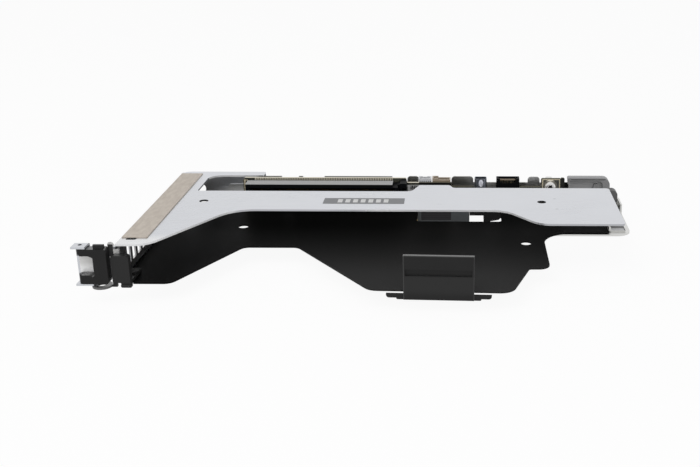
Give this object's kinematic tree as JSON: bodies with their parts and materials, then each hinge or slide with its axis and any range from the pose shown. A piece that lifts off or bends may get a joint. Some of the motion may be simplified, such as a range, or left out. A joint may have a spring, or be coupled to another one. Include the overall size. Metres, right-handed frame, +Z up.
{
  "type": "riser card",
  "caption": "Riser card in a low folded-steel cage, with a horizontal card slot, a vented blank, a swinging bracket latch and a black bay floor.",
  "frame": {"origin": "middle of the end of the board's edge tab, half way through the board", "axes": "+X along the cage towards the handle, +Y away from the open front of the bay, +Z up out of the main board"},
  "size_m": [0.2845, 0.1438, 0.0299],
  "materials": {
    "cage_steel": "satin",
    "bright_steel": "satin",
    "gasket_cloth": "matte",
    "black_sheet": "matte",
    "black_plastic": "matte",
    "grey_plastic": "matte",
    "board_laminate": "gloss",
    "slot_plastic": "gloss",
    "gold_contact": "polished",
    "white_plastic": "gloss",
    "tan_plastic": "gloss",
    "shell_metal": "polished",
    "capacitor_tan": "gloss"
  },
  "bodies": {
    "cage": {"top_bracket": "cage_steel", "base_bracket": "cage_steel", "end_support": "cage_steel", "cage_rivets": "bright_steel", "slot_cover": "bright_steel", "emi_gasket": "gasket_cloth", "bottom_sheet": "black_sheet", "push_rivets": "black_plastic", "card_clip": "black_plastic", "latch_pin": "bright_steel", "latch_keeper": "black_plastic", "riser_board": "board_laminate", "slot_housing": "slot_plastic", "slot_contacts": "gold_contact", "board_screws": "bright_steel", "standoffs": "bright_steel", "white_header": "white_plastic", "white_header_pins": "gold_contact", "tan_header": "tan_plastic", "tan_header_pins": "gold_contact", "shell_receptacle": "shell_metal", "receptacle_tongue": "slot_plastic", "cable_header": "slot_plastic", "cable_header_pins": "gold_contact", "controller_chip": "slot_plastic", "coupling_capacitors": "capacitor_tan", "touch_handle": "grey_plastic", "handle_screws": "bright_steel"},
    "latch": {"bracket_latch": "black_plastic"}
  },
  "joints": [
    {"name": "latch_hinge", "type": "hinge", "parent": "cage", "child": "latch", "pos_m": [-0.1466, -0.1174, 0.0185], "axis": [0, 0, -1], "range_deg": [0, 100]}
  ]
}
